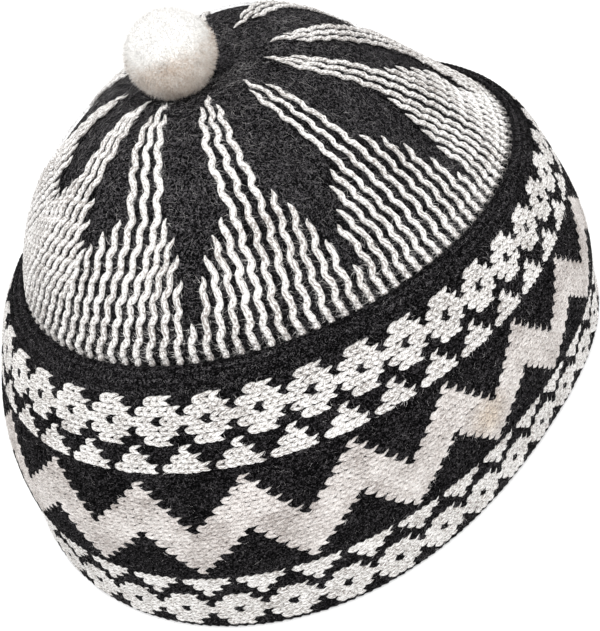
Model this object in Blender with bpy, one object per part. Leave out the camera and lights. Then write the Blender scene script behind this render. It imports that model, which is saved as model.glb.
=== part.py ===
"""Knitted kufi cap: a doubled jacquard band, a plain welt, a knitted crown and a pompom."""
import math

import bmesh
import bpy
from mathutils import Vector
from mathutils.bvhtree import BVHTree

# Driving sizes, in metres and degrees
BAND_RADIUS = 0.1000
KNIT_ROW = 0.00242
BAND_ROWS = 31.5
WELT_ROWS = 3.0
FULL_ROW = 15.0
BAND_WALL = 0.0052
WELT_WALL = 0.0048
CROWN_WALL = 0.0030
CROWN_RISE = 0.0518
POMPOM_RADIUS = 0.0125
REST_WIDTH = 0.0032
FOOT_SET_IN = 0.42
SEAM_GAP = 0.00032
POMPOM_GAP = 0.00040

# How the soft cap leans, sags and bulges, as shares of the sizes above
LEAN_X = 0.122
LEAN_Y = -0.001
TILT_X = -0.024
TILT_Y = -0.078
OVAL_RIM = (0.016, -0.056)
OVAL_TOP = (-0.021, -0.039)
OVAL_WAIST = (-0.013, 0.002)
WAIST_SHIFT = (-0.001, -0.026)
SIDE_FLARE = 0.139
SIDE_FLARE_AT = 80.0
SIDE_FLARE_SPREAD = 30.7
SIDE_FLARE_FADE = 1.2
SIDE_WAIST = -0.017
POLE_SHIFT = (-0.068, -0.071)
CROWN_ROUND_IN = 0.863
CROWN_ROUND_UP = 1.857
PUFF = 0.018
PUFF_FRONT = -0.085
PUFF_RIGHT = -0.126
PUFF_FRONT_TWICE = 0.084
PUFF_RIGHT_TWICE = -0.112
POLE_DIMPLE = 0.046
POLE_DIMPLE_WIDTH = 0.20
BACK_PUFF = 0.046
BACK_PUFF_AT = (0.288, 0.187)
BACK_PUFF_WIDTH = 0.20

# Lean of the outer face from upright at some knit rows, counted down from the welt
FACE_LEAN = (
    {"row": 31.5, "degrees": 10.3},
    {"row": 22.0, "degrees": -0.1},
    {"row": 12.0, "degrees": 19.7},
    {"row": 3.0, "degrees": 23.9},
    {"row": 0.0, "degrees": 42.2},
    {"row": -3.0, "degrees": 91.4},
)

# Resolution
SEGMENTS = 64
BAND_STEPS = 11
WELT_STEPS = 4
CROWN_STEPS = 12
PROFILE_STEPS = 140

# Pompom: locks fused to a round head
LOCKS = 46
LOCK_SPREAD = 0.40
LOCK_STAND = 0.10
HEAD_SHARE = 0.94
POMPOM_SQUASH = 0.95
POMPOM_AT = (0.0014, -0.0170)
POMPOM_SIT = 0.84

BLACK_YARN = (0.012, 0.011, 0.012, 1.0)
CHARCOAL_YARN = (0.022, 0.021, 0.023, 1.0)
MIXED_YARN = (0.30, 0.28, 0.27, 1.0)
WHITE_YARN = (0.86, 0.84, 0.80, 1.0)


def blend(table, key, value, at):
    """Straight-line value from a short table whose keys fall."""
    if at >= table[0][key]:
        return table[0][value]
    for low, high in zip(table, table[1:]):
        if at >= high[key]:
            share = (low[key] - at) / (low[key] - high[key])
            return low[value] + share * (high[value] - low[value])
    return table[-1][value]


def outer_profile():
    """Radius and height of the outer face from the rim up to the crown's edge."""
    step_rows = (BAND_ROWS + WELT_ROWS) / PROFILE_STEPS
    rows = [BAND_ROWS]
    radii = [0.0]
    heights = [0.0]
    for _ in range(PROFILE_STEPS):
        lean = math.radians(blend(FACE_LEAN, "row", "degrees", rows[-1] - step_rows / 2.0))
        radii.append(radii[-1] - math.sin(lean) * step_rows * KNIT_ROW)
        heights.append(heights[-1] + math.cos(lean) * step_rows * KNIT_ROW)
        rows.append(rows[-1] - step_rows)
    full = round((BAND_ROWS - FULL_ROW) / step_rows)
    shift = BAND_RADIUS - radii[full]
    return [(row, radius + shift, height) for row, radius, height in zip(rows, radii, heights)]


PROFILE = outer_profile()
TOP_RADIUS = PROFILE[-1][1]
TOP_HEIGHT = PROFILE[-1][2]


def on_profile(row):
    """Radius, height and inward unit normal of the outer face at a knit row."""
    place = (BAND_ROWS - row) / (BAND_ROWS + WELT_ROWS) * PROFILE_STEPS
    low = min(max(int(place), 0), PROFILE_STEPS - 1)
    share = place - low
    one = PROFILE[low]
    two = PROFILE[low + 1]
    radius = one[1] + share * (two[1] - one[1])
    height = one[2] + share * (two[2] - one[2])
    lean = math.radians(blend(FACE_LEAN, "row", "degrees", row))
    return radius, height, -math.cos(lean), -math.sin(lean)


def lay_soft(radius, height, angle):
    """Carry a point of the round cap into the leaning, slightly oval soft one."""
    up = min(max(height / TOP_HEIGHT, 0.0), 1.0)
    waist = 4.0 * up * (1.0 - up)
    oval_a = OVAL_RIM[0] + (OVAL_TOP[0] - OVAL_RIM[0]) * up + OVAL_WAIST[0] * waist
    oval_b = OVAL_RIM[1] + (OVAL_TOP[1] - OVAL_RIM[1]) * up + OVAL_WAIST[1] * waist
    swelling = 1.0 + oval_a * math.cos(2.0 * angle) + oval_b * math.sin(2.0 * angle)
    off = (math.degrees(angle) - SIDE_FLARE_AT + 180.0) % 360.0 - 180.0
    flare = SIDE_FLARE * (1.0 - up) ** SIDE_FLARE_FADE + SIDE_WAIST * waist
    reach = radius * swelling + flare * BAND_RADIUS * math.exp(-(off / SIDE_FLARE_SPREAD) ** 2)
    x = reach * math.sin(angle)
    y = -reach * math.cos(angle)
    rise = (TILT_X * x + TILT_Y * y) * up
    x += (LEAN_X * up + WAIST_SHIFT[0] * waist) * BAND_RADIUS
    y += (LEAN_Y * up + WAIST_SHIFT[1] * waist) * BAND_RADIUS
    return Vector((x, y, height + rise))


def crown_point(share, angle):
    """Outer face of the crown: share 0 at the welt, 1 at the pole."""
    turn = math.pi * share / 2.0
    radius = (TOP_RADIUS - SEAM_GAP) * max(math.cos(turn), 0.0) ** CROWN_ROUND_IN
    point = lay_soft(radius, TOP_HEIGHT, angle)
    puff = PUFF + PUFF_FRONT * math.cos(angle) + PUFF_RIGHT * math.sin(angle)
    puff += PUFF_FRONT_TWICE * math.cos(2.0 * angle) + PUFF_RIGHT_TWICE * math.sin(2.0 * angle)
    rise = math.sin(turn) ** CROWN_ROUND_UP + puff * math.sin(math.pi * share) ** 2
    near_pole = radius / (TOP_RADIUS * POLE_DIMPLE_WIDTH)
    rise -= POLE_DIMPLE * math.exp(-near_pole * near_pole)
    point.x += POLE_SHIFT[0] * BAND_RADIUS * share ** 1.5
    point.y += POLE_SHIFT[1] * BAND_RADIUS * share ** 1.5
    beside_x = (point.x / BAND_RADIUS - BACK_PUFF_AT[0]) / BACK_PUFF_WIDTH
    beside_y = (point.y / BAND_RADIUS - BACK_PUFF_AT[1]) / BACK_PUFF_WIDTH
    rise += BACK_PUFF * math.exp(-beside_x ** 2 - beside_y ** 2)
    point.z += CROWN_RISE * rise
    return point


def turned_ring(section):
    """Closed ring mesh from a closed section of (radius, height) pairs."""
    mesh = bmesh.new()
    rings = []
    for index in range(SEGMENTS):
        angle = 2.0 * math.pi * index / SEGMENTS
        rings.append([mesh.verts.new(lay_soft(radius, height, angle)) for radius, height in section])
    for index, ring in enumerate(rings):
        after = rings[(index + 1) % SEGMENTS]
        for corner in range(len(section)):
            nxt = (corner + 1) % len(section)
            mesh.faces.new((ring[corner], after[corner], after[nxt], ring[nxt]))
    return mesh


def finish(mesh, name, color, roughness, sharp_degrees=50.0):
    """Turn a bmesh into a named object with its own material."""
    bmesh.ops.recalc_face_normals(mesh, faces=mesh.faces)
    data = bpy.data.meshes.new(name)
    mesh.to_mesh(data)
    mesh.free()
    data.shade_smooth()
    data.set_sharp_from_angle(angle=math.radians(sharp_degrees))
    material = bpy.data.materials.new(name + "_yarn")
    material.use_nodes = True
    shader = material.node_tree.nodes["Principled BSDF"]
    shader.inputs["Base Color"].default_value = color
    shader.inputs["Roughness"].default_value = roughness
    shader.inputs["Metallic"].default_value = 0.0
    data.materials.append(material)
    thing = bpy.data.objects.new(name, data)
    bpy.context.scene.collection.objects.link(thing)
    return thing


def band_section():
    """Section of the doubled band: flat rim below, rounded fold, square top edge."""
    outer = []
    edge_row = SEAM_GAP / KNIT_ROW
    rows = [BAND_ROWS - 1.0 - (BAND_ROWS - 1.0 - edge_row) * i / BAND_STEPS for i in range(BAND_STEPS + 1)]
    for row in rows:
        radius, height, _, _ = on_profile(row)
        outer.append((radius, height))
    inner = []
    for row in rows:
        radius, height, in_r, in_z = on_profile(row)
        inner.append((radius + in_r * BAND_WALL, height + in_z * BAND_WALL))
    foot_radius = outer[0][0] - BAND_WALL * FOOT_SET_IN
    inner[0] = (outer[0][0] - BAND_WALL, outer[0][1])
    foot = [(foot_radius - REST_WIDTH / 2.0, 0.0), (foot_radius + REST_WIDTH / 2.0, 0.0)]
    return outer + inner[::-1] + foot


def welt_section():
    """Section of the welt: a low rounded ridge between the band and the crown."""
    outer = []
    inner = []
    for step in range(WELT_STEPS + 1):
        row = -WELT_ROWS * step / WELT_STEPS
        radius, height, in_r, in_z = on_profile(row)
        outer.append((radius, height))
        inner.append((radius + in_r * WELT_WALL, height + in_z * WELT_WALL))
    return outer + [inner[-1], inner[2], inner[0]]


def crown_mesh():
    """Domed sheet with a wall, closed at the pole and open at the welt."""
    shares = [(i / CROWN_STEPS) ** 0.9 for i in range(CROWN_STEPS)]
    mesh = bmesh.new()
    outer = []
    inner = []
    step = 0.004
    for share in shares:
        out_ring = []
        in_ring = []
        for index in range(SEGMENTS):
            angle = 2.0 * math.pi * index / SEGMENTS
            here = crown_point(share, angle)
            along = crown_point(min(share + step, 0.999), angle) - crown_point(max(share - step, 0.0), angle)
            around = crown_point(share, angle + 0.02) - crown_point(share, angle - 0.02)
            normal = around.cross(along).normalized()
            under = here - normal * CROWN_WALL
            if share == 0.0:
                under = lay_soft(TOP_RADIUS - SEAM_GAP, TOP_HEIGHT - CROWN_WALL, angle)
            out_ring.append(mesh.verts.new(here))
            in_ring.append(mesh.verts.new(under))
        outer.append(out_ring)
        inner.append(in_ring)
    pole = crown_point(1.0, 0.0)
    out_pole = mesh.verts.new(pole)
    in_pole = mesh.verts.new(pole - Vector((0.0, 0.0, CROWN_WALL)))
    for rings, tip in ((outer, out_pole), (inner, in_pole)):
        for low, high in zip(rings, rings[1:]):
            for index in range(SEGMENTS):
                nxt = (index + 1) % SEGMENTS
                mesh.faces.new((low[index], low[nxt], high[nxt], high[index]))
        for index in range(SEGMENTS):
            mesh.faces.new((rings[-1][index], rings[-1][(index + 1) % SEGMENTS], tip))
    for index in range(SEGMENTS):
        nxt = (index + 1) % SEGMENTS
        mesh.faces.new((outer[0][nxt], outer[0][index], inner[0][index], inner[0][nxt]))
    return mesh


def lock_directions(count):
    """Even spread of directions over a ball."""
    golden = math.pi * (3.0 - math.sqrt(5.0))
    directions = []
    for index in range(count):
        height = 1.0 - 2.0 * (index + 0.5) / count
        ring = math.sqrt(1.0 - height * height)
        directions.append(Vector((ring * math.cos(golden * index), ring * math.sin(golden * index), height)))
    return directions


def pompom_mesh(crown):
    """Round head with locks fused over it, settled on the crown."""
    surface = BVHTree.FromObject(crown, bpy.context.evaluated_depsgraph_get())
    above = Vector((POMPOM_AT[0], POMPOM_AT[1], 1.0))
    seat = surface.ray_cast(above, Vector((0.0, 0.0, -1.0)))[0]
    centre = seat + Vector((0.0, 0.0, POMPOM_RADIUS * POMPOM_SIT))
    locks = lock_directions(LOCKS)
    mesh = bmesh.new()
    bmesh.ops.create_icosphere(mesh, subdivisions=4, radius=1.0)
    for vert in mesh.verts:
        direction = vert.co.normalized()
        stand = 0.0
        for lock in locks:
            off = direction.angle(lock) / LOCK_SPREAD
            stand = max(stand, LOCK_STAND * math.sqrt(max(0.0, 1.0 - off * off)))
        reach = POMPOM_RADIUS * (HEAD_SHARE + stand)
        spot = centre + Vector((direction.x, direction.y, direction.z * POMPOM_SQUASH)) * reach
        under = surface.ray_cast(Vector((spot.x, spot.y, 1.0)), Vector((0.0, 0.0, -1.0)))[0]
        if under is not None and spot.z < under.z + POMPOM_GAP:
            spot.z = under.z + POMPOM_GAP
        vert.co = spot
    return mesh


def centre_on_floor(things):
    """Put the middle of the whole cap's box over the origin, its rim on the floor."""
    corners = [vert.co for thing in things for vert in thing.data.vertices]
    shift = Vector((
        -(min(c.x for c in corners) + max(c.x for c in corners)) / 2.0,
        -(min(c.y for c in corners) + max(c.y for c in corners)) / 2.0,
        -min(c.z for c in corners),
    ))
    for thing in things:
        for vert in thing.data.vertices:
            vert.co = vert.co + shift


def main():
    for old in list(bpy.data.objects):
        bpy.data.objects.remove(old, do_unlink=True)
    band = finish(turned_ring(band_section()), "band", MIXED_YARN, 0.95)
    welt = finish(turned_ring(welt_section()), "welt", BLACK_YARN, 0.95)
    crown = finish(crown_mesh(), "crown", CHARCOAL_YARN, 0.96)
    pompom = finish(pompom_mesh(crown), "pompom", WHITE_YARN, 1.0)
    centre_on_floor((band, welt, crown, pompom))


main()
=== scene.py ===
import math

import bpy
import numpy as np
from bpy.props import FloatProperty, FloatVectorProperty, IntProperty, PointerProperty
from mathutils import Matrix, Vector


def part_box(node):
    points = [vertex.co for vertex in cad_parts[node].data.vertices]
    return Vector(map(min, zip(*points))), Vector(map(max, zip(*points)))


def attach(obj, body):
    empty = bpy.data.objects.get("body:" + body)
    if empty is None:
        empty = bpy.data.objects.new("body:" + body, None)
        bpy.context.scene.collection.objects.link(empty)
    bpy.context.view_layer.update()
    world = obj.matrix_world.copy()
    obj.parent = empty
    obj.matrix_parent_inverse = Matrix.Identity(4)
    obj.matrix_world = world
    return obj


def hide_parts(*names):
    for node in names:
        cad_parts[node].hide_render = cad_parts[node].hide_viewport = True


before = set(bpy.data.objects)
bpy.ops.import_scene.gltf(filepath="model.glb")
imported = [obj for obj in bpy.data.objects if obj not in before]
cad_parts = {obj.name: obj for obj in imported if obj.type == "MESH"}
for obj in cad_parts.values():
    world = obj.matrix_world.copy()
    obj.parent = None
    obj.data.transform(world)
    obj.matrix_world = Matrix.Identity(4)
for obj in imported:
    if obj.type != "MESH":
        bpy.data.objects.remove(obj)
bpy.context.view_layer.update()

bl_info = {
    "name": "Knitted kufi cap",
    "version": (1, 0, 0),
    "blender": (4, 5, 0),
    "location": "View3D > Sidebar > Kufi cap",
    "description": "Builds the stitches, stripes, pompom and yarn finishes of a knitted kufi cap",
    "category": "Object",
}

MM = 0.001

# The cap's form in millimetres, angles clockwise from the side that faces the viewer
BAND_RADIUS = 100.0
KNIT_ROW = 2.42
RIM_ROW = 31.5
WELT_ROW = -3.0
FULL_ROW = 15.0
BAND_WALL = 5.2
WELT_WALL = 4.8
CROWN_WALL = 3.0
CROWN_RISE = 51.8
SEAM = 0.32
COURSES = 240
COURSE = 2.0 * math.pi * BAND_RADIUS / COURSES
PROFILE_STEPS = 280
FIRST_FLORET = -40.46
CENTRE = (-5.96, 0.33)

FACE_LEAN = (
    {"row": -3.0, "degrees": 91.4},
    {"row": 0.0, "degrees": 42.2},
    {"row": 3.0, "degrees": 23.9},
    {"row": 12.0, "degrees": 19.7},
    {"row": 22.0, "degrees": -0.1},
    {"row": 31.5, "degrees": 10.3},
)

# Crown wedges, one every 36 degrees at the welt: how far each one's middle line swings
# round, and how far apart its three long stripes run in degrees, at ten heights from welt
# to pole. "close" is how much closer the short stripes run left and right of those, and
# "reach" is how much higher or lower they stop there. "tips" gives the stops of single ones
HEIGHTS = (0.0, 0.1, 0.2, 0.3, 0.4, 0.5, 0.6, 0.7, 0.8, 0.9)
WEDGES = (
    {"at": -115.0, "reach": (0.00, 0.10), "close": (1.0, 1.20), "tips": {2: 0.70, 3: 0.66, 4: 0.605, 5: 0.565, 6: 0.53}, "swing": (0, 0, 4, 9, 16, 25, 32, 35, 31, 27), "apart": (3, 3, 3, 3, 3.1, 3.3, 3.8, 4.2, 4.4, 4)},
    {"at": -79.0, "reach": (0.05, -0.02), "close": (0.70, 0.95), "tips": {-5: 0.54, -4: 0.56, -3: 0.585, -2: 0.61, 5: 0.435, 6: 0.385}, "swing": (0, 0, 3.5, 8, 15.5, 23.5, 28.5, 30, 29, 31), "apart": (3, 3, 2.9, 2.9, 3, 3.1, 3.4, 3.6, 3.8, 3.4)},
    {"at": -43.0, "reach": (-0.035, -0.065), "close": (1.05, 0.73), "tips": {-5: 0.43, -4: 0.455, -3: 0.485, -2: 0.52}, "swing": (0, 0, 2.5, 5.2, 9.6, 13, 13.5, 12, 11, 11), "apart": (3, 3, 2.9, 2.9, 3, 3.3, 3.9, 4.2, 4, 3.5)},
    {"at": -7.0, "reach": (-0.03, -0.01), "close": (0.92, 0.96), "swing": (0, 0, 0.1, 0.9, 2, 2.7, 2.4, 2.1, 3.5, 7), "apart": (3, 3, 2.9, 2.8, 3.1, 3.56, 4.5, 4.6, 4.5, 4)},
    {"at": 29.0, "reach": (0.04, 0.06), "close": (0.86, 1.0), "swing": (0, 0, 0.7, 2.1, 3.9, 4.8, 5.7, 5.5, 5, 5), "apart": (3, 3.1, 3.4, 3.7, 4.1, 4.7, 5.9, 6.6, 7.2, 6)},
    {"at": 65.0, "reach": (0.08, 0.03), "close": (0.78, 0.80), "swing": (0, 1, 5, 10, 14, 16.5, 17.5, 16, 10.5, 9), "apart": (3, 3.2, 3.5, 3.8, 4.2, 4.6, 5, 5, 4.5, 4)},
    {"at": 101.0, "reach": (-0.12, -0.02), "close": (0.5, 0.45), "swing": (0, 1, 4, 7.5, 10.2, 11.5, 10, 7, 0, -3), "apart": (3, 3.1, 3.2, 3.4, 3.7, 4, 4.2, 4.2, 3.6, 3.2)},
    {"at": 137.0, "reach": (-0.02, 0.02), "close": (0.5, 0.9), "swing": (0, 0, 1, 2, 2, 2, 2, 2, -2, -3), "apart": (3, 3.1, 3.2, 3.4, 3.7, 4.2, 4.8, 5, 4.6, 4)},
    {"at": 173.0, "reach": (0.00, 0.00), "close": (0.9, 0.9), "swing": (0, 0, 1, 2, 3, 4, 4, 2, 0, 0), "apart": (3, 3.1, 3.2, 3.4, 3.7, 4.2, 5, 5.4, 5.4, 5)},
    {"at": 209.0, "reach": (0.00, 0.00), "close": (0.9, 0.9), "swing": (0, 0, 2, 5, 9, 13, 17, 19, 16, 14), "apart": (3, 3.1, 3.2, 3.4, 3.7, 4.2, 5, 5.4, 5.4, 5)},
)
# Where each stripe of a wedge stops, counted in stripes from the middle line
STRIPE_TOPS = {-5: 0.39, -4: 0.44, -3: 0.495, -2: 0.54, -1: 0.83, 0: 0.87, 1: 0.82, 2: 0.58, 3: 0.535, 4: 0.485, 5: 0.42, 6: 0.30}
WAVE_LENGTH = 7.1
STAIN_COURSE = 44.0
STAIN_ROW = 17.0
WAVE_WIDTH = 0.50


def profile_lines():
    """Outer face of the round cap: rows, radii and heights from the crown's edge to the rim."""
    rows = np.linspace(RIM_ROW, WELT_ROW, PROFILE_STEPS + 1)
    middle = (rows[1:] + rows[:-1]) / 2.0
    lean = np.radians(np.interp(middle, [p["row"] for p in FACE_LEAN], [p["degrees"] for p in FACE_LEAN]))
    step = (RIM_ROW - WELT_ROW) / PROFILE_STEPS * KNIT_ROW
    radii = np.concatenate([[0.0], np.cumsum(-np.sin(lean) * step)])
    heights = np.concatenate([[0.0], np.cumsum(np.cos(lean) * step)])
    radii += BAND_RADIUS - np.interp(-FULL_ROW, -rows, radii)
    return rows[::-1], radii[::-1], heights[::-1]


ROWS, RADII, HEIGHTS_UP = profile_lines()
TOP_RADIUS = RADII[0]
TOP_HEIGHT = HEIGHTS_UP[0]


def band_path():
    """Section of the band's skin: down the outside, round the rim fold, up the inside."""
    outside = ROWS < RIM_ROW - 1.0
    rows = ROWS[outside]
    radii = RADII[outside]
    heights = HEIGHTS_UP[outside]
    foot = radii[-1]
    fold = ((-0.15, 1.3), (-0.60, 0.50), (-1.40, 0.30), (-3.0, 0.30), (-4.4, 0.60), (-5.0, 1.4), (-5.2, 2.6))
    fold_r = np.array([foot + step[0] for step in fold])
    fold_z = np.array([step[1] for step in fold])
    lean = np.radians(np.interp(rows, [p["row"] for p in FACE_LEAN], [p["degrees"] for p in FACE_LEAN]))
    up = slice(None, None, -8)
    inner_r = (radii - np.cos(lean) * BAND_WALL)[up][2:]
    inner_z = (heights - np.sin(lean) * BAND_WALL)[up][2:]
    keep = rows[up][2:] > 0.0
    all_r = np.concatenate([radii, fold_r, inner_r[keep]])
    all_z = np.concatenate([heights, fold_z, inner_z[keep]])
    length = np.concatenate([[0.0], np.cumsum(np.hypot(np.diff(all_r), np.diff(all_z)))])
    return WELT_ROW + length / KNIT_ROW, all_r, all_z


PATH_ROWS, PATH_R, PATH_Z = band_path()


def lay_soft(radius, height, angle):
    """Carry points of the round cap into the leaning, slightly oval soft one."""
    up = np.clip(height / TOP_HEIGHT, 0.0, 1.0)
    waist = 4.0 * up * (1.0 - up)
    oval_a = 0.016 - 0.037 * up - 0.013 * waist
    oval_b = -0.056 + 0.017 * up + 0.002 * waist
    swelling = 1.0 + oval_a * np.cos(2.0 * angle) + oval_b * np.sin(2.0 * angle)
    off = (np.degrees(angle) - 80.0 + 180.0) % 360.0 - 180.0
    flare = 0.139 * (1.0 - up) ** 1.2 - 0.017 * waist
    reach = radius * swelling + flare * BAND_RADIUS * np.exp(-(off / 30.7) ** 2)
    x = reach * np.sin(angle)
    y = -reach * np.cos(angle)
    rise = (-0.024 * x - 0.078 * y) * up
    x = x + (0.122 * up - 0.001 * waist) * BAND_RADIUS + CENTRE[0]
    y = y + (-0.001 * up - 0.026 * waist) * BAND_RADIUS + CENTRE[1]
    return np.stack([x, y, height + rise], -1)


def band_surface(course, row):
    """Point of the band's skin at a course and a row of the knit."""
    radius = np.interp(row, PATH_ROWS, PATH_R)
    height = np.interp(row, PATH_ROWS, PATH_Z)
    return lay_soft(radius, height, np.radians(FIRST_FLORET + course * 360.0 / COURSES))


def crown_surface(course, share):
    """Point of the crown's skin at a course and a share of the way to the pole."""
    angle = np.radians(FIRST_FLORET + course * 360.0 / COURSES)
    spread = -120.0 * np.minimum(share, 0.0)
    share = np.maximum(share, 0.0)
    turn = math.pi * share / 2.0
    radius = (TOP_RADIUS - SEAM) * np.maximum(np.cos(turn), 0.0) ** 0.863 + spread
    point = lay_soft(radius, TOP_HEIGHT + 0.0 * radius, angle)
    puff = 0.018 - 0.085 * np.cos(angle) - 0.126 * np.sin(angle)
    puff = puff + 0.084 * np.cos(2.0 * angle) - 0.112 * np.sin(2.0 * angle)
    rise = np.sin(turn) ** 1.857 + puff * np.sin(math.pi * share) ** 2
    rise = rise - 0.046 * np.exp(-(radius / (TOP_RADIUS * 0.20)) ** 2)
    point[..., 0] -= 0.068 * BAND_RADIUS * share ** 1.5
    point[..., 1] -= 0.071 * BAND_RADIUS * share ** 1.5
    beside_x = ((point[..., 0] - CENTRE[0]) / BAND_RADIUS - 0.288) / 0.20
    beside_y = ((point[..., 1] - CENTRE[1]) / BAND_RADIUS - 0.187) / 0.20
    rise = rise + 0.046 * np.exp(-beside_x ** 2 - beside_y ** 2)
    point[..., 2] += CROWN_RISE * rise
    return point


def with_normals(surface, course, low, course_step=0.05, low_step=0.05):
    """Points, outward normals and the two unit directions of a skin."""
    here = surface(course, low)
    around = surface(course + course_step, low) - surface(course - course_step, low)
    along = surface(course, low + low_step) - surface(course, low - low_step)
    around_length = np.linalg.norm(around, axis=-1, keepdims=True) / (2.0 * course_step)
    along_length = np.linalg.norm(along, axis=-1, keepdims=True) / (2.0 * low_step)
    around = around / np.maximum(np.linalg.norm(around, axis=-1, keepdims=True), 1e-9)
    along = along / np.maximum(np.linalg.norm(along, axis=-1, keepdims=True), 1e-9)
    normal = np.cross(around, along) * (-1.0 if surface is band_surface else 1.0)
    normal = normal / np.maximum(np.linalg.norm(normal, axis=-1, keepdims=True), 1e-9)
    return here, normal, around, along, around_length[..., 0], along_length[..., 0]


def floor_clear(points):
    """Knit that would dip under the rim is pressed flat there."""
    points[..., 2] = np.maximum(points[..., 2], 0.12)
    return points


def make_object(name, points, faces, uv=None, tint=None):
    """Mesh object in metres from points in millimetres, smooth shaded."""
    mesh = bpy.data.meshes.new(name)
    mesh.from_pydata((np.asarray(points).reshape(-1, 3) * MM).tolist(), [], np.asarray(faces).tolist() if isinstance(faces, np.ndarray) else faces)
    mesh.polygons.foreach_set("use_smooth", np.ones(len(mesh.polygons), dtype=bool))
    corner = np.empty(len(mesh.loops), dtype=np.int32)
    mesh.loops.foreach_get("vertex_index", corner)
    if uv is not None:
        layer = mesh.uv_layers.new(name="yarn")
        layer.data.foreach_set("uv", np.asarray(uv, dtype=np.float32).reshape(-1, 2)[corner].ravel())
    if tint is not None:
        values = mesh.attributes.new("tint", "FLOAT", "POINT")
        values.data.foreach_set("value", np.asarray(tint, dtype=np.float32).ravel())
    mesh.update()
    thing = bpy.data.objects.new(name, mesh)
    bpy.context.scene.collection.objects.link(thing)
    return thing


def grid_faces(rows, columns, closed_columns=False, start=0, flip=False):
    """Quads of a grid of points, row by row."""
    across = columns if closed_columns else columns - 1
    row, column = np.meshgrid(np.arange(rows - 1), np.arange(across), indexing="ij")
    after = (column + 1) % columns
    quads = np.stack([row * columns + column, row * columns + after, (row + 1) * columns + after, (row + 1) * columns + column], -1)
    quads = quads.reshape(-1, 4) + start
    return quads[:, ::-1] if flip else quads


# Stitches

LEG = np.array([
    [-1.95, 0.02, -0.12, 0.10],
    [-1.35, 0.20, 0.20, 0.42],
    [-0.50, 0.44, 0.40, 0.60],
    [0.55, 0.69, 0.34, 0.60],
    [1.50, 0.91, 0.10, 0.44],
    [2.40, 1.02, -0.16, 0.13],
])
PLAIN_LEG = LEG[[0, 1, 3, 5]]
FLAT_LEG = LEG * (1.0, 1.0, 0.5, 0.94)
ROUND = np.radians(np.array([-105.0, -38.0, 38.0, 105.0]))


def is_white(course, row):
    """Chart of the band: florets, a zigzag and florets again."""
    floret = np.abs((course + 3) % 6 - 3)
    triangle = np.abs(course % 6 - 3)
    peak = np.abs((course - 3 + 6) % 12 - 6)
    valley = np.abs((course - 9 + 6) % 12 - 6)
    white = np.zeros(np.broadcast(course, row).shape, dtype=bool)
    for middle in (3, 28):
        near = np.abs(row - middle)
        white |= (near == 2) & (floret <= 1)
        white |= (near == 1) & (floret <= 2)
        white |= (near == 0) & (floret >= 1)
    for width, rise in enumerate((6, 7, 8)):
        white |= (row == rise) & (triangle <= width)
    for width, fall in enumerate((25, 24, 23)):
        white |= (row == fall) & (triangle <= width)
    white |= (row >= 10) & (row <= 15) & (peak <= row - 10)
    white |= (row >= 16) & (row <= 21) & (valley <= 21 - row)
    return white


def knit_stitches(name, courses, rows, leg, seed, lift=0.0, surface=band_surface):
    """Sideways V stitches, two plump legs each, laid over a skin."""
    rng = np.random.default_rng(seed)
    count = len(courses)
    away = np.gradient(leg[:, :2], axis=0)
    away /= np.linalg.norm(away, axis=1, keepdims=True)
    points = []
    uvs = []
    faces = []
    start = 0
    slip = rng.normal(0.0, 0.09, (count, 2))
    plump = rng.normal(1.0, 0.07, count)
    tint = rng.normal(0.0, 1.0, count)
    length = np.concatenate([[0.0], np.cumsum(np.linalg.norm(np.diff(leg[:, :2], axis=0), axis=1))])
    for side in (1.0, -1.0):
        bend = rng.normal(0.0, 0.05, count)
        x = leg[:, 0][None, :, None] - away[:, 1][None, :, None] * leg[:, 3][None, :, None] * np.sin(ROUND)[None, None, :] * plump[:, None, None]
        y = leg[:, 1][None, :, None] + away[:, 0][None, :, None] * leg[:, 3][None, :, None] * np.sin(ROUND)[None, None, :] * plump[:, None, None]
        h = leg[:, 2][None, :, None] + leg[:, 3][None, :, None] * np.cos(ROUND)[None, None, :] * plump[:, None, None]
        x = x + slip[:, 0][:, None, None]
        y = side * (y + bend[:, None, None]) + slip[:, 1][:, None, None]
        h = np.broadcast_to(h + lift, x.shape)
        c = courses[:, None, None] + x / COURSE
        r = rows[:, None, None] + y / KNIT_ROW
        here, normal = with_normals(surface, c, r)[:2]
        points.append(floor_clear(here + normal * h[..., None]).reshape(-1, 3))
        u = np.broadcast_to(length[None, :, None] + rng.uniform(0, 9, count)[:, None, None], x.shape)
        v = np.broadcast_to((ROUND / (2.0 * math.pi))[None, None, :], x.shape)
        uvs.append(np.stack([u, v * side], -1).reshape(-1, 2))
        one = grid_faces(len(leg), len(ROUND), flip=side < 0)
        step = len(leg) * len(ROUND)
        faces.append((one[None] + (np.arange(count) * step)[:, None, None]).reshape(-1, 4) + start)
        start += count * step
    tints = np.concatenate([np.repeat(tint, len(leg) * len(ROUND))] * 2)
    return make_object(name, np.concatenate(points), np.concatenate(faces), np.concatenate(uvs), tints)


def turned_skin(name, surface_points, uv):
    """Closed ring skin from a grid of points, section by angle."""
    rows, columns = surface_points.shape[:2]
    faces = grid_faces(rows, columns, closed_columns=True)
    last = np.stack([np.arange(columns), (np.arange(columns) + 1) % columns], -1)
    cap = np.stack([(rows - 1) * columns + last[:, 0], (rows - 1) * columns + last[:, 1], last[:, 1], last[:, 0]], -1)
    return make_object(name, surface_points.reshape(-1, 3), np.concatenate([faces, cap]), uv.reshape(-1, 2))


# Stripes of the crown

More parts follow.
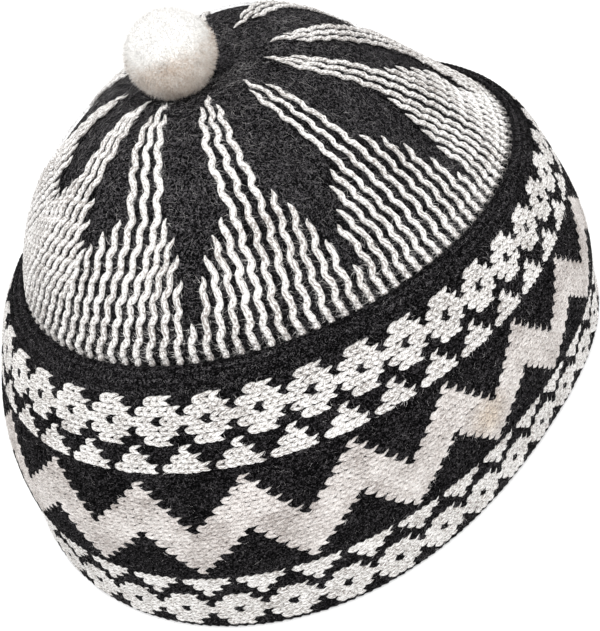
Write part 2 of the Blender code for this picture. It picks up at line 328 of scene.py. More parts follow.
def stripe_course(wedge, stripe, share):
    """Course at which a stripe of a wedge runs, at each height of the crown."""
    row = WEDGES[wedge]
    ahead = WEDGES[(wedge + 1) % len(WEDGES)]
    mine = row["at"] + np.interp(share, HEIGHTS, row["swing"])
    next_one = row["at"] + 36.0 + np.interp(share, HEIGHTS, ahead["swing"])
    behind = WEDGES[wedge - 1]
    last_one = row["at"] - 36.0 + np.interp(share, HEIGHTS, behind["swing"])
    outer = abs(stripe) - min(abs(stripe), 1.0)
    steps = math.copysign(abs(stripe) - outer + outer * row["close"][stripe > 0], stripe)
    own = mine + steps * np.interp(share, HEIGHTS, row["apart"])
    even = np.where(stripe >= 0, mine + (next_one - mine) * stripe / 12.0, mine + (mine - last_one) * stripe / 12.0)
    leave = np.clip((share - 0.22) / 0.22, 0.0, 1.0)
    leave = leave * leave * (3.0 - 2.0 * leave)
    angle = even * (1.0 - leave) + own * leave
    return (angle - FIRST_FLORET) * COURSES / 360.0


def rope_points(course, share, wave, radius, height, around, phase, rough):
    """Rings of a wavy yarn rope along the crown."""
    here, normal, across, along, across_mm, along_mm = with_normals(crown_surface, course, share, 0.05, 0.002)
    length = np.concatenate([[0.0], np.cumsum(np.linalg.norm(np.diff(here, axis=0), axis=1))])
    turn = 2.0 * math.pi * length / WAVE_LENGTH + phase
    shape = np.sin(turn) + 0.25 * np.sin(2.0 * turn + 0.5)
    calm = 0.80 + 0.20 * np.clip(share / 0.35, 0.0, 1.0)
    centre = here + across * (wave * calm * shape)[:, None]
    lobe = 1.0 + 0.10 * np.cos(2.0 * turn - 0.5)
    centre = centre + normal * (height + 0.16 * np.cos(2.0 * turn + 0.4))[:, None]
    ahead = np.gradient(centre, axis=0)
    ahead /= np.maximum(np.linalg.norm(ahead, axis=1, keepdims=True), 1e-9)
    side = np.cross(ahead, normal)
    side /= np.maximum(np.linalg.norm(side, axis=1, keepdims=True), 1e-9)
    top = np.cross(side, ahead)
    ring = side[:, None, :] * np.sin(around)[None, :, None] + top[:, None, :] * (0.70 * np.cos(around))[None, :, None]
    points = centre[:, None, :] + ring * (radius * lobe)[:, None, None] * (1.0 + rough[..., None])
    return points, length


def crown_ropes(name, ropes, wave, thick, height, sections, seed):
    """All the stripes of one yarn, joined."""
    rng = np.random.default_rng(seed)
    around = np.radians(np.linspace(-125.0, 125.0, sections))
    points = []
    faces = []
    uvs = []
    tints = []
    start = 0
    for wedge, stripe, low, top in ropes:
        rings = max(9, int((top - low) * 115.0))
        share = np.linspace(low, top, rings)
        course = stripe_course(wedge, stripe, share)
        end = np.clip((rings - 0.9 - np.arange(rings)) / 3.5, 0.02, 1.0)
        radius = thick * np.sqrt(end) * rng.normal(1.0, 0.03)
        radius = radius * (1.0 - 0.25 * np.clip((share - 0.6) / 0.3, 0.0, 1.0))
        if abs(stripe) > 1:
            beside = crown_surface(stripe_course(wedge, stripe + math.copysign(1.0, stripe), share), share)
            gap = np.linalg.norm(beside - crown_surface(course, share), axis=1)
            radius = radius * np.clip(gap / 3.0, 0.66, 1.0)
        rough = rng.normal(0.0, 0.075, (rings, sections))
        body, length = rope_points(course, share, wave, radius, height, around, rng.normal(0.0, 0.25), rough)
        points.append(body.reshape(-1, 3))
        faces.append(grid_faces(rings, sections, start=start))
        v = np.broadcast_to(around / (2.0 * math.pi), (rings, sections))
        u = np.broadcast_to(length[:, None], (rings, sections))
        uvs.append(np.stack([u, v], -1).reshape(-1, 2))
        drift = rng.normal(0.0, 0.8) + np.repeat(rng.normal(0.0, 0.6, rings // 4 + 1), 4)[:rings]
        # Painted shade: over the last stretch before the welt each stripe is darkened towards its yarn's dark colour,
        # where it runs down into the seam.
        drift = drift - 5.0 * np.clip((0.05 - share) / 0.05, 0.0, 1.0)
        tints.append(np.repeat(drift, sections))
        start += rings * sections
    return make_object(name, np.concatenate(points), np.concatenate(faces), np.concatenate(uvs), np.concatenate(tints))


def stripe_list():
    """Wedge, stripe, foot and top of every white stripe."""
    ropes = []
    rng = np.random.default_rng(11)
    for wedge, row in enumerate(WEDGES):
        for stripe, top in STRIPE_TOPS.items():
            gain = row["reach"][stripe > 0] * (1.0 if abs(stripe) > 1 else 0.15)
            stop = row.get("tips", {}).get(stripe, top + gain)
            ropes.append((wedge, stripe, -0.004, stop + rng.normal(0.0, 0.006)))
    return ropes


def black_rope_list(ropes):
    """The black courses that lie between neighbouring white stripes."""
    tops = {(wedge, stripe): top for wedge, stripe, _, top in ropes}
    between = []
    for (wedge, stripe), top in tops.items():
        after = tops.get((wedge, stripe + 1))
        if after is None:
            after = tops[((wedge + 1) % len(WEDGES), -5)]
        between.append((wedge, stripe + 0.5, -0.004, min(top, after) + 0.03))
    return between


# Loose fibres

def fibres(name, surface, courses, lows, length, lift, width, seed, low_step=0.05, height=0.55):
    """Fine curved hairs that stand off a skin, each a narrow ribbon."""
    rng = np.random.default_rng(seed)
    count = len(courses)
    here, normal, around, along = with_normals(surface, courses, lows, 0.05, low_step)[:4]
    turn = rng.uniform(0.0, 2.0 * math.pi, count)
    away = around * np.cos(turn)[:, None] + along * np.sin(turn)[:, None]
    side = np.cross(normal, away)
    reach = rng.uniform(0.5, 1.0, count) ** 1.5 * length
    stand = np.abs(rng.normal(0.0, lift, count))
    curl = rng.normal(0.0, 0.35, count) * reach
    steps = np.linspace(0.0, 1.0, 3)
    points = []
    for step in steps:
        middle = here + away * (reach * step)[:, None] + side * (curl * step * step)[:, None]
        middle = middle + normal * (height + stand * math.sin(step * 2.4))[:, None]
        half = width * (1.0 - 0.6 * step)
        twist = side * math.cos(step * 1.5) + normal * math.sin(step * 1.5)
        points.append(np.stack([middle - twist * half, middle + twist * half], 1))
    body = floor_clear(np.stack(points, 1))
    one = grid_faces(len(steps), 2, flip=True)
    faces = (one[None] + (np.arange(count) * len(steps) * 2)[:, None, None]).reshape(-1, 4)
    tint = np.repeat(rng.normal(0.0, 1.0, count), len(steps) * 2)
    uv = np.tile(np.array([[s, e] for s in steps for e in (0.0, 1.0)]), (count, 1))
    return make_object(name, body, faces, uv, tint)


# Finishes

STAIN_AT = tuple((band_surface(STAIN_COURSE, STAIN_ROW) * MM).tolist())


def link(tree, source, target):
    tree.links.new(source, target)


def yarn_material(name, color, dark, light, sheen, ply_depth, patch=0.5, drift=0.06, grain=0.7, streak=0.5, edge_shade=2.2, scale=1500.0, spread=(0.30, 0.72), ply=True, shine=0.15, stain=None):
    """Wool yarn: twist along the strand, uneven dye, fine fibre grain, painted shade towards the strand's sides and a
    soft sheen.
    """
    material = bpy.data.materials.new(name)
    material.use_nodes = True
    tree = material.node_tree
    shader = tree.nodes["Principled BSDF"]
    shader.inputs["Roughness"].default_value = 0.94
    shader.inputs["Specular IOR Level"].default_value = shine
    shader.inputs["Sheen Weight"].default_value = sheen
    shader.inputs["Sheen Roughness"].default_value = 0.45
    shader.inputs["Sheen Tint"].default_value = (light[0], light[1], light[2], 1.0)
    place = tree.nodes.new("ShaderNodeTexCoord")
    strand = tree.nodes.new("ShaderNodeUVMap")
    strand.uv_map = "yarn"
    stretch = tree.nodes.new("ShaderNodeMapping")
    stretch.inputs["Scale"].default_value = (0.7, 7.0, 1.0)
    stretch.inputs["Rotation"].default_value = (0.0, 0.0, 0.25)
    link(tree, strand.outputs["UV"], stretch.inputs["Vector"])
    level = None
    heights = []
    layers = (
        ("patch", place.outputs["Object"], 70.0, 4.0, patch),
        ("grain", place.outputs["Object"], scale, 3.0, grain),
        ("streak", stretch.outputs["Vector"], 1.4, 3.0, streak),
    )
    for label, source, scale, detail, weight in layers:
        noise = tree.nodes.new("ShaderNodeTexNoise")
        noise.label = label
        noise.inputs["Scale"].default_value = scale
        noise.inputs["Detail"].default_value = detail
        noise.inputs["Distortion"].default_value = 1.2 if label == "grain" else 0.0
        link(tree, source, noise.inputs["Vector"])
        heights.append(noise.outputs["Fac"])
        add = tree.nodes.new("ShaderNodeMath")
        add.operation = "MULTIPLY_ADD"
        add.inputs[1].default_value = weight
        add.inputs[2].default_value = 0.5 - 0.5 * (patch + grain + streak)
        link(tree, noise.outputs["Fac"], add.inputs[0])
        if level is not None:
            link(tree, level, add.inputs[2])
        level = add.outputs[0]
    # The tint attribute shifts the colour: a random tone by stitch, stripe and fibre, and painted light and shade on
    # the pompom and at the feet of the crown's stripes.
    tint = tree.nodes.new("ShaderNodeAttribute")
    tint.attribute_name = "tint"
    shade = tree.nodes.new("ShaderNodeMath")
    shade.operation = "MULTIPLY_ADD"
    shade.inputs[1].default_value = drift
    link(tree, tint.outputs["Fac"], shade.inputs[0])
    link(tree, level, shade.inputs[2])
    level = shade.outputs[0]
    # Painted shade: the colour darkens towards the strand's sides, by edge_shade, where neighbouring strands would
    # shade it.
    if ply:
        parts = tree.nodes.new("ShaderNodeSeparateXYZ")
        link(tree, strand.outputs["UV"], parts.inputs["Vector"])
        edge = tree.nodes.new("ShaderNodeMath")
        edge.operation = "MULTIPLY"
        link(tree, parts.outputs["Y"], edge.inputs[0])
        link(tree, parts.outputs["Y"], edge.inputs[1])
        fade = tree.nodes.new("ShaderNodeMath")
        fade.operation = "MULTIPLY_ADD"
        fade.inputs[1].default_value = -edge_shade
        link(tree, edge.outputs[0], fade.inputs[0])
        link(tree, level, fade.inputs[2])
        level = fade.outputs[0]
    ramp = tree.nodes.new("ShaderNodeValToRGB")
    ramp.color_ramp.elements[0].position = spread[0]
    ramp.color_ramp.elements[0].color = (dark[0], dark[1], dark[2], 1.0)
    ramp.color_ramp.elements[1].position = spread[1]
    ramp.color_ramp.elements[1].color = (light[0], light[1], light[2], 1.0)
    middle = ramp.color_ramp.elements.new(0.50)
    middle.color = (color[0], color[1], color[2], 1.0)
    link(tree, level, ramp.inputs["Fac"])
    color_out = ramp.outputs["Color"]
    if stain is not None:
        apart = tree.nodes.new("ShaderNodeVectorMath")
        apart.operation = "DISTANCE"
        apart.inputs[1].default_value = stain["at"]
        link(tree, place.outputs["Object"], apart.inputs[0])
        near = tree.nodes.new("ShaderNodeMapRange")
        near.interpolation_type = "SMOOTHSTEP"
        near.inputs["From Min"].default_value = stain["reach"]
        near.inputs["From Max"].default_value = 0.0
        near.inputs["To Max"].default_value = stain["depth"]
        link(tree, apart.outputs["Value"], near.inputs["Value"])
        mark = tree.nodes.new("ShaderNodeMix")
        mark.data_type = "RGBA"
        mark.blend_type = "MULTIPLY"
        sockets = [socket for socket in mark.inputs if socket.type == "RGBA"]
        sockets[1].default_value = (*stain["color"], 1.0)
        link(tree, near.outputs["Result"], mark.inputs["Factor"])
        link(tree, color_out, sockets[0])
        color_out = next(socket for socket in mark.outputs if socket.type == "RGBA")
    link(tree, color_out, shader.inputs["Base Color"])
    bump = tree.nodes.new("ShaderNodeBump")
    bump.inputs["Strength"].default_value = 0.9
    bump.inputs["Distance"].default_value = 0.0006
    link(tree, heights[1], bump.inputs["Height"])
    normal = bump.outputs["Normal"]
    if ply:
        around = tree.nodes.new("ShaderNodeMath")
        around.operation = "MULTIPLY"
        around.inputs[1].default_value = 4.0 * math.pi
        link(tree, parts.outputs["Y"], around.inputs[0])
        twist = tree.nodes.new("ShaderNodeMath")
        twist.operation = "MULTIPLY_ADD"
        twist.inputs[1].default_value = 2.0 * math.pi / 1.25
        link(tree, parts.outputs["X"], twist.inputs[0])
        link(tree, around.outputs[0], twist.inputs[2])
        wave = tree.nodes.new("ShaderNodeMath")
        wave.operation = "SINE"
        link(tree, twist.outputs[0], wave.inputs[0])
        for height, depth in ((heights[2], 0.00018), (wave.outputs[0], ply_depth)):
            more = tree.nodes.new("ShaderNodeBump")
            more.inputs["Strength"].default_value = 0.7
            more.inputs["Distance"].default_value = depth
            link(tree, height, more.inputs["Height"])
            link(tree, normal, more.inputs["Normal"])
            normal = more.outputs["Normal"]
    link(tree, normal, shader.inputs["Normal"])
    return material


def finish_piece(thing, material, node):
    """Give a piece its yarn, hang it under the root body and hide the solid that it stands for."""
    thing.data.materials.clear()
    thing.data.materials.append(material)
    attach(thing, "root")
    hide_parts(node)


WHITE = {"dark": (0.33, 0.30, 0.28), "light": (0.96, 0.945, 0.93), "sheen": 0.10, "ply_depth": 0.00016, "patch": 0.35, "drift": 0.035, "grain": 0.75, "streak": 1.7, "edge_shade": 1.6}
# The zigzag's off-white: a warmer yarn tone, made darker than the florets' white by painted shade; the stain is a real
# mark.
ZIGZAG_WHITE = {**WHITE, "dark": (0.34, 0.30, 0.28), "light": (0.86, 0.825, 0.80), "patch": 0.6, "edge_shade": 0.6, "grain": 0.6, "streak": 1.0, "stain": {"at": STAIN_AT, "reach": 0.0105, "depth": 0.75, "color": (0.90, 0.80, 0.66)}}
BLACK = {"dark": (0.0008, 0.0008, 0.0009), "light": (0.098, 0.093, 0.098), "sheen": 0.0, "ply_depth": 0.0002, "patch": 0.2, "drift": 0.03, "grain": 1.9, "edge_shade": 0.8, "scale": 1800.0, "spread": (0.46, 0.82), "shine": 0.04}


def finish_for(name, **values):
    """The named finish, made once."""
    found = bpy.data.materials.get(name)
    return found if found is not None else yarn_material(name, **values)


def white_yarn():
    return finish_for("white_yarn", color=bpy.context.scene.kufi_yarn.white[:3], **WHITE)


def zigzag_yarn():
    """The zigzag's off-white yarn, a little warmer than the florets' white, and darker by painted shade."""
    return finish_for("zigzag_white_yarn", color=bpy.context.scene.kufi_yarn.zigzag_white[:3], **ZIGZAG_WHITE)


def black_yarn():
    return finish_for("black_yarn", color=bpy.context.scene.kufi_yarn.black[:3], **{**BLACK, "light": (0.068, 0.064, 0.068)})


def black_felt():
    """The same black yarn where it is brushed flat and no strand shows."""
    return finish_for("black_felt", color=bpy.context.scene.kufi_yarn.black[:3], **{**BLACK, "ply": False})


class KufiYarn(bpy.types.PropertyGroup):
    """Yarn colours and how thick the knit is."""

    white: FloatVectorProperty(name="White yarn", description="Colour of the off-white yarn", default=(0.80, 0.78, 0.76), size=3, min=0.0, max=1.0, subtype="COLOR")
    # The zigzag's yarn colour: a warmer tone, darkened by painted shade.
    zigzag_white: FloatVectorProperty(name="Zigzag white", description="Colour of the zigzag's warm, shade-darkened white yarn", default=(0.65, 0.605, 0.58), size=3, min=0.0, max=1.0, subtype="COLOR")
    black: FloatVectorProperty(name="Black yarn", description="Colour of the black yarn", default=(0.0042, 0.0039, 0.0045), size=3, min=0.0, max=1.0, subtype="COLOR")
    rope: FloatProperty(name="Stripe thickness", description="Radius of the white stripes on the crown", default=0.00093, min=0.0003, max=0.002, unit="LENGTH", precision=5)
    band_hairs: IntProperty(name="Band hairs", description="Loose fibres on the band", default=14000, min=0, max=30000)
    white_hairs: IntProperty(name="White fuzz", description="Short fibres on the white stripes, and half as many on the band's white stitches", default=24000, min=0, max=30000)
    crown_hairs: IntProperty(name="Crown hairs", description="Loose fibres on the crown", default=14000, min=0, max=30000)


class KufiPompom(bpy.types.PropertyGroup):
    """The wool ball."""

    radius: FloatProperty(name="Radius", description="Radius of the pompom's packed wool", default=0.0117, min=0.005, max=0.03, unit="LENGTH", precision=5)
    hairs: IntProperty(name="Fibres", description="Cut fibre ends on the pompom", default=22000, min=0, max=60000)
    wool: FloatVectorProperty(name="Wool", description="Colour of the pompom's wool", default=(0.80, 0.785, 0.76), size=3, min=0.0, max=1.0, subtype="COLOR")


class KUFI_OT_band(bpy.types.Operator):
    """Knit the patterned side band"""

    bl_idname = "kufi.band"
    bl_label = "Band"

    def execute(self, context):
        course, row = np.meshgrid(np.arange(COURSES), np.arange(1, 32), indexing="ij")
        course = course.ravel()
        row = row.ravel()
        white = is_white(course, row)
        parts = (
            ("band_upper_florets", row < 10, white_yarn, 3, LEG),
            ("band_zigzag", (row >= 10) & (row <= 21), zigzag_yarn, 9, FLAT_LEG),
            ("band_lower_florets", row > 21, white_yarn, 10, LEG),
        )
        for name, part, yarn, seed, leg in parts:
            pick = white & part
            light = knit_stitches(name, course[pick].astype(float), row[pick].astype(float), leg, seed, lift=0.06)
            finish_piece(light, yarn(), "band")
        dark = knit_stitches("band_black_stitches", course[~white].astype(float), row[~white].astype(float), PLAIN_LEG, 4)
        finish_piece(dark, black_yarn(), "band")
        sections = 64
        columns = 120
        rows = np.linspace(-0.2, PATH_ROWS[-1], sections)
        c, r = np.meshgrid(np.arange(columns) * COURSES / columns, rows)
        here, normal = with_normals(band_surface, c, r)[:2]
        sink = np.where(r < 32.0, 0.35, 0.0)
        skin = floor_clear(here - normal * sink[..., None])
        backing = turned_skin("band_backing", skin[::-1], np.stack([c, r], -1)[::-1])
        finish_piece(backing, black_felt(), "band")
        return {"FINISHED"}


class KUFI_OT_welt(bpy.types.Operator):
    """Knit the plain welt"""

    bl_idname = "kufi.welt"
    bl_label = "Welt"

    def execute(self, context):
        columns = 240
        rows = np.linspace(0.05, -3.0, 14)
        c, r = np.meshgrid(np.arange(columns) * 1.0, rows)
        here, normal = with_normals(band_surface, c, np.clip(r, -2.9, 0.2))[:2]
        rise = 0.75 * np.sin(math.pi * np.clip(-r / 3.0, 0.0, 1.0)) - 0.2
        outer = here + normal * rise[..., None]
        inner = here - normal * WELT_WALL * 0.92
        section = np.concatenate([outer, inner[::-1][::3]], 0)
        uv_low = np.concatenate([r, r[::-1][::3]], 0)
        uv = np.stack([np.broadcast_to(c[:1], uv_low.shape), uv_low], -1)
        body = turned_skin("welt_body", section, uv)
        finish_piece(body, black_felt(), "welt")
        course, row = np.meshgrid(np.arange(COURSES), np.array([-0.45, -1.35, -2.25]), indexing="ij")
        small = PLAIN_LEG.copy()
        small[:, 1] *= 0.36
        small[:, 3] *= 0.62
        knit = knit_stitches("welt_stitches", course.ravel().astype(float), row.ravel(), small, 8, lift=0.35)
        finish_piece(knit, black_yarn(), "welt")
        return {"FINISHED"}


class KUFI_OT_crown(bpy.types.Operator):
    """Knit the striped crown"""

    bl_idname = "kufi.crown"
    bl_label = "Crown"

    def execute(self, context):
        columns = 360
        rings = 84
        shares = np.linspace(0.0, 0.995, rings)
        c, s = np.meshgrid(np.arange(columns) * COURSES / columns, shares)
        here, normal = with_normals(crown_surface, c, np.clip(s, 0.003, 0.995), 0.05, 0.002)[:2]
        ridge = 0.16 * np.cos(2.0 * math.pi * s * 98.0 / 2.9 + 1.2 * np.sin(math.pi * c))
        outer = here + normal * (ridge - 0.25)[..., None]
        inner = (here - normal * CROWN_WALL * 0.9)[::4, ::4]
        in_rings, in_columns = inner.shape[:2]
        start = rings * columns
        tip = start + in_rings * in_columns
        ring = np.arange(columns)
        after = (ring + 1) % columns
        last = (rings - 1) * columns
        top = np.stack([last + ring, last + after, np.full(columns, tip)], -1)
        ring = np.arange(in_columns)
        after = (ring + 1) % in_columns
        last = start + (in_rings - 1) * in_columns
        under = np.stack([last + after, last + ring, np.full(in_columns, tip + 1)], -1)
        step = columns // in_columns
        skirt = []
        for k in range(in_columns):
            near, far = start + k, start + (k + 1) % in_columns
            for j in range(step):
                skirt.append((near, (k * step + j + 1) % columns, k * step + j))
            skirt.append((near, far, (k * step + step) % columns))
        faces = grid_faces(rings, columns, closed_columns=True).tolist()
        faces += grid_faces(in_rings, in_columns, closed_columns=True, start=start, flip=True).tolist()
        faces += top.tolist() + under.tolist() + skirt
        points = np.concatenate([outer.reshape(-1, 3), inner.reshape(-1, 3), outer[-1].mean(0)[None], inner[-1].mean(0)[None]])
        flat = np.stack([c, s * 98.0], -1)
        uv = np.concatenate([flat.reshape(-1, 2), flat[::4, ::4].reshape(-1, 2), [[0, 98.0]], [[0, 98.0]]])
        ground = make_object("crown_ground", points, faces, uv)
        finish_piece(ground, black_felt(), "crown")
        ropes = stripe_list()
        radius = context.scene.kufi_yarn.rope / MM
        white = crown_ropes("crown_white_stripes", ropes, WAVE_WIDTH, radius, 0.55, 6, 21)
        finish_piece(white, white_yarn(), "crown")
        black = crown_ropes("crown_black_stripes", black_rope_list(ropes), WAVE_WIDTH, radius * 1.02, -0.05, 5, 22)
        finish_piece(black, black_yarn(), "crown")
        return {"FINISHED"}


class KUFI_OT_hairs(bpy.types.Operator):
    """Raise the loose wool fibres"""

    bl_idname = "kufi.hairs"
    bl_label = "Loose fibres"

    def execute(self, context):
        rng = np.random.default_rng(5)
        yarn = context.scene.kufi_yarn
        grey = finish_for("stray_fibres", color=(0.27, 0.255, 0.26), dark=(0.05, 0.05, 0.05), light=(0.62, 0.60, 0.59), drift=0.12, sheen=0.0, ply_depth=0.0, ply=False)
        pale = finish_for("white_fibres", color=(0.74, 0.72, 0.70), dark=(0.55, 0.52, 0.50), light=(0.92, 0.90, 0.88), sheen=0.0, ply_depth=0.0, ply=False)
        count = yarn.band_hairs
        band = fibres("band_hairs", band_surface, rng.uniform(0, COURSES, count), rng.uniform(-3.0, 31.5, count), 2.6, 0.4, 0.019, 6)
        finish_piece(band, grey, "band")
        count = yarn.crown_hairs
        share = rng.uniform(0.0, 1.0, count) ** 0.8 * 0.93
        crown = fibres("crown_hairs", crown_surface, rng.uniform(0, COURSES, count), share, 3.2, 0.35, 0.021, 7, 0.002)
        finish_piece(crown, grey, "crown")
        count = yarn.white_hairs
        ropes = stripe_list()
        reach = np.array([top - low for _, _, low, top in ropes])
        course = []
        share = []
        for pick, number in zip(ropes, np.round(reach / reach.sum() * count).astype(int)):
            wedge, stripe, low, top = pick
            here = np.sort(rng.uniform(0.0, 1.0, number)) ** 0.8 * (top - 0.012)
            share.append(here)
            course.append(stripe_course(wedge, stripe, here) + rng.normal(0.0, 0.30, number))
        fuzz = fibres("crown_fuzz", crown_surface, np.concatenate(course), np.concatenate(share), 2.3, 0.22, 0.042, 12, 0.002, 0.75)
        finish_piece(fuzz, pale, "crown")
        course, row = np.meshgrid(np.arange(COURSES), np.arange(1, 32), indexing="ij")
        white = is_white(course, row)
        count = count // 2
        pick = rng.integers(0, white.sum(), count)
        fuzz = fibres("band_fuzz", band_surface, course[white][pick] + rng.uniform(-0.5, 0.9, count), row[white][pick] + rng.uniform(-0.48, 0.48, count), 1.8, 0.20, 0.040, 13, 0.05, 0.80)
        finish_piece(fuzz, pale, "band")
        return {"FINISHED"}


class KUFI_OT_pompom(bpy.types.Operator):
    """Wind and trim the wool pompom"""

    bl_idname = "kufi.pompom"
    bl_label = "Pompom"

    def execute(self, context):
        rng = np.random.default_rng(31)
        values = context.scene.kufi_pompom
        low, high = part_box("pompom")
        middle = (np.array(low) + np.array(high)) / 2.0 / MM
        radius = values.radius / MM
        # The wool's dark end is a warm beige: through the strong drift on tint it gives the painted shade on the
        # ball's underside.
        wool = finish_for("pompom_wool", color=values.wool[:3], dark=(0.49, 0.395, 0.32), light=(0.85, 0.84, 0.825), sheen=0.2, ply_depth=0.0, drift=0.22, grain=0.35, streak=0.2, patch=0.3, ply=False)
        bpy.ops.object.select_all(action="DESELECT")
        bpy.ops.mesh.primitive_ico_sphere_add(subdivisions=5, radius=1.0, location=(0.0, 0.0, 0.0))
        core = bpy.context.object
        core.name = "pompom_core"
        core.data.name = "pompom_core"
        count = len(core.data.vertices)
        ball = np.empty(count * 3)
        core.data.vertices.foreach_get("co", ball)
        ball = ball.reshape(-1, 3)
        ball /= np.linalg.norm(ball, axis=1, keepdims=True)
        lumps = tuft_directions(60, rng)
        stand = tuft_height(ball, lumps)
        floor = low[2] / MM + 0.35
        spots = middle + ball * np.array([1.03, 1.03, 0.96]) * (radius * (0.95 + 0.05 * stand))[:, None]
        spots[:, 2] = np.maximum(spots[:, 2], floor)
        core.data.vertices.foreach_set("co", (spots * MM).ravel())
        # Painted light and shade: the core is coloured lighter on top and darker and warmer underneath.
        shade = core.data.attributes.new("tint", "FLOAT", "POINT")
        shade.data.foreach_set("value", low_shade(ball[:, 2]).astype(np.float32))
        core.data.update()
        bpy.ops.object.shade_smooth()
        finish_piece(core, wool, "pompom")
        hairs = values.hairs
        away = rng.normal(0.0, 1.0, (hairs, 3))
        away /= np.linalg.norm(away, axis=1, keepdims=True)
        stand = tuft_height(away, lumps)
        lean = away + rng.normal(0.0, 0.42, (hairs, 3))
        lean /= np.linalg.norm(lean, axis=1, keepdims=True)
        side = np.cross(lean, rng.normal(0.0, 1.0, (hairs, 3)))
        side /= np.linalg.norm(side, axis=1, keepdims=True)
        root = middle + away * np.array([1.03, 1.03, 0.96]) * (radius * 0.93)
        reach = radius * (0.10 + 0.05 * stand) * rng.uniform(0.5, 1.2, hairs)
        points = []
        for step in (0.0, 0.55, 1.0):
            centre = root + lean * (reach * step)[:, None] + side * (reach * 0.35 * step * step)[:, None]
            twist = np.cross(lean, side)
            half = 0.075 * (1.0 - 0.65 * step)
            points.append(np.stack([centre - twist * half, centre + twist * half], 1))
        body = np.stack(points, 1)
        body[..., 2] = np.maximum(body[..., 2], floor - 0.2)
        one = grid_faces(3, 2)
        faces = (one[None] + (np.arange(hairs) * 6)[:, None, None]).reshape(-1, 4)
        # Painted light and shade as on the core, plus a random tone for each fibre.
        tint = np.repeat(low_shade(away[:, 2]) + rng.normal(0.0, 0.15, hairs), 6)
        uv = np.tile(np.array([[s, e] for s in (0.0, 0.55, 1.0) for e in (0.0, 1.0)]), (hairs, 1))
        fluff = make_object("pompom_fibres", body, faces, uv, tint)
        finish_piece(fluff, wool, "pompom")
        return {"FINISHED"}


def tuft_directions(count, rng):
    """Even spread of tufts over the ball, a little shaken."""
    index = np.arange(count) + 0.5
    height = 1.0 - 2.0 * index / count
    ring = np.sqrt(1.0 - height ** 2)
    turn = math.pi * (3.0 - math.sqrt(5.0)) * index
    spread = np.stack([ring * np.cos(turn), ring * np.sin(turn), height], -1) + rng.normal(0.0, 0.08, (count, 3))
    return spread / np.linalg.norm(spread, axis=1, keepdims=True)


def tuft_height(directions, lumps):
    """How far the tufts stand out at each direction, 0 to 1."""
    near = np.clip(directions @ lumps.T, -1.0, 1.0)
    off = np.arccos(near.max(axis=1)) / 0.36
    return np.sqrt(np.clip(1.0 - off * off, 0.0, 1.0))


def low_shade(height):
    """Painted light and shade: the wool is coloured lighter on top and darker and warmer underneath; height runs from
    -1 to 1.
    """
    below = np.clip((0.80 - height) / 0.75, 0.0, 1.0)
    return 0.8 - 1.4 * below * below * (3.0 - 2.0 * below)


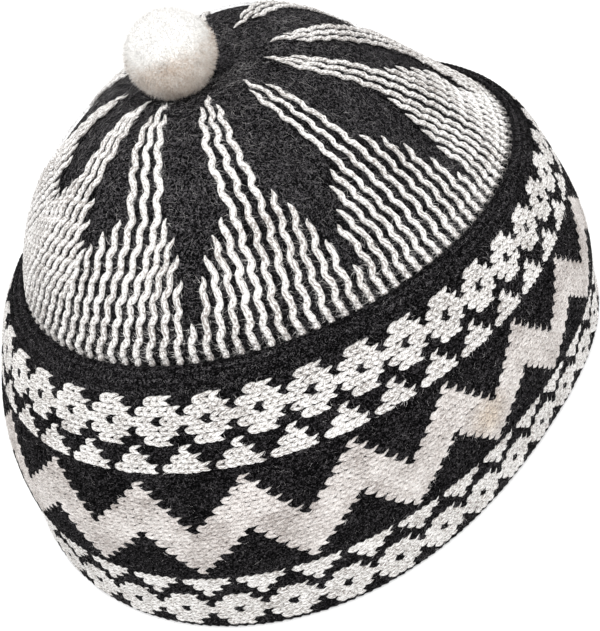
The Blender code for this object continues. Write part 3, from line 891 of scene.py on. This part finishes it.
class KUFI_OT_stage(bpy.types.Operator):
    """Set the floor, the light and the camera"""

    bl_idname = "kufi.stage"
    bl_label = "Stage"

    def execute(self, context):
        bpy.ops.object.select_all(action="DESELECT")
        bpy.ops.mesh.primitive_plane_add(size=8.0, location=(0.0, 0.0, 0.0))
        floor = bpy.context.object
        floor.name = "floor"
        paper = bpy.data.materials.new("pale_floor")
        paper.use_nodes = True
        paper.node_tree.nodes["Principled BSDF"].inputs["Base Color"].default_value = (0.93, 0.93, 0.93, 1.0)
        paper.node_tree.nodes["Principled BSDF"].inputs["Roughness"].default_value = 0.9
        floor.data.materials.append(paper)
        world = bpy.data.worlds.new("soft_room")
        world.use_nodes = True
        world.node_tree.nodes["Background"].inputs["Color"].default_value = (1.0, 1.0, 1.0, 1.0)
        world.node_tree.nodes["Background"].inputs["Strength"].default_value = 0.80
        context.scene.world = world
        context.scene.view_settings.view_transform = "Standard"
        lamps = (
            ("key", (0.10, -0.50, 0.90), 0.5, 8.2),
            ("fill", (-0.60, 0.40, 0.80), 0.9, 2.5),
        )
        for name, spot, size, power in lamps:
            bpy.ops.object.light_add(type="AREA", location=spot)
            lamp = bpy.context.object
            lamp.name = name
            lamp.data.size = size
            lamp.data.energy = power
            lamp.rotation_euler = (Vector((0.0, 0.0, 0.06)) - Vector(spot)).to_track_quat("-Z", "Y").to_euler()
        rise = math.radians(42.057)
        roll = math.radians(-21.442)
        back = Vector((0.0, -math.cos(rise), math.sin(rise)))
        flat = Vector((1.0, 0.0, 0.0))
        over = Vector((0.0, math.sin(rise), math.cos(rise)))
        right = flat * math.cos(roll) + over * math.sin(roll)
        above = over * math.cos(roll) - flat * math.sin(roll)
        place = Vector((8.121 + CENTRE[0], CENTRE[1], 17.738)) * MM + back * (341.125 * MM)
        bpy.ops.object.camera_add(location=place)
        camera = bpy.context.object
        camera.name = "camera"
        camera.matrix_world = Matrix.Translation(place) @ Matrix((right, above, back)).transposed().to_4x4()
        camera.data.sensor_fit = "HORIZONTAL"
        camera.data.sensor_width = 36.0
        camera.data.lens = 36.0 * 927.866 / 600.0
        camera.data.clip_start = 0.01
        camera.data.clip_end = 20.0
        context.scene.camera = camera
        return {"FINISHED"}


class KUFI_PT_panel(bpy.types.Panel):
    """Lists the cap's sizes, colours and pieces"""

    bl_idname = "KUFI_PT_panel"
    bl_label = "Kufi cap"
    bl_space_type = "VIEW_3D"
    bl_region_type = "UI"
    bl_category = "Kufi cap"

    def draw(self, context):
        layout = self.layout
        for group in (context.scene.kufi_yarn, context.scene.kufi_pompom):
            box = layout.box()
            for key in group.__annotations__:
                box.prop(group, key)
        for operator in ORDER:
            layout.operator(operator.bl_idname)


ORDER = (KUFI_OT_band, KUFI_OT_welt, KUFI_OT_crown, KUFI_OT_hairs, KUFI_OT_pompom, KUFI_OT_stage)
CLASSES = (KufiYarn, KufiPompom) + ORDER + (KUFI_PT_panel,)


def register():
    for kind in CLASSES:
        bpy.utils.register_class(kind)
    bpy.types.Scene.kufi_yarn = PointerProperty(type=KufiYarn)
    bpy.types.Scene.kufi_pompom = PointerProperty(type=KufiPompom)


def unregister():
    del bpy.types.Scene.kufi_pompom
    del bpy.types.Scene.kufi_yarn
    for kind in reversed(CLASSES):
        bpy.utils.unregister_class(kind)


def main():
    register()
    for operator in ORDER:
        group, action = operator.bl_idname.split(".")
        getattr(getattr(bpy.ops, group), action)()


if __name__ == "__main__":
    main()
